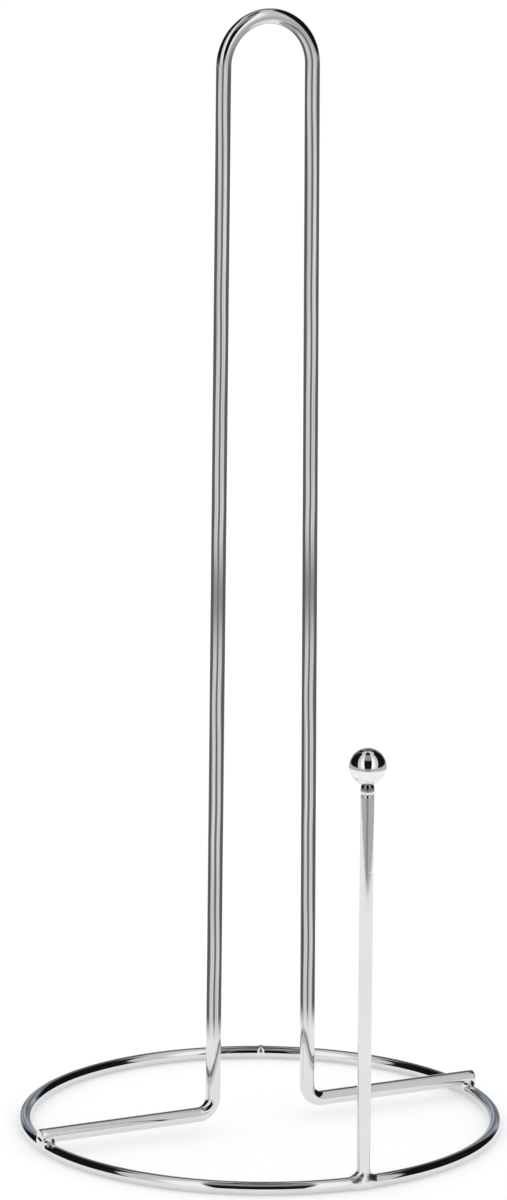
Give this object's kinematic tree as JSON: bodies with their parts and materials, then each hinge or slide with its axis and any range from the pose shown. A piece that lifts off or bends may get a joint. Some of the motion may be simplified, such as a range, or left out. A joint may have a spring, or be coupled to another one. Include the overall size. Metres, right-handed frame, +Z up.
{
  "type": "paper towel holder",
  "caption": "Free-standing wire paper towel holder: round base ring, tall hairpin loop for the roll, and a short guide rod with a ball end.",
  "frame": {"origin": "centre of the base ring, on the surface that the holder stands on", "axes": "+Z up along the roll's axis; the hairpin loop stands in the XZ plane with its feet at +X and -X; the guide rod stands at the front, close to -Y"},
  "size_m": [0.154, 0.1557, 0.3514],
  "materials": {
    "chrome_wire": "bright chrome plate on drawn steel wire",
    "chrome_ball": "mirror-bright chrome plate on a steel ball",
    "chrome_weld": "chrome plate over a weld bead, slightly uneven"
  },
  "bodies": {
    "root": {"base_ring": "chrome_wire", "ring_butt_weld": "chrome_weld", "center_loop": "chrome_wire", "left_foot_weld": "chrome_weld", "right_foot_weld": "chrome_weld", "guide_rod": "chrome_wire", "rod_base_weld": "chrome_weld", "ball_finial": "chrome_ball"}
  },
  "joints": []
}
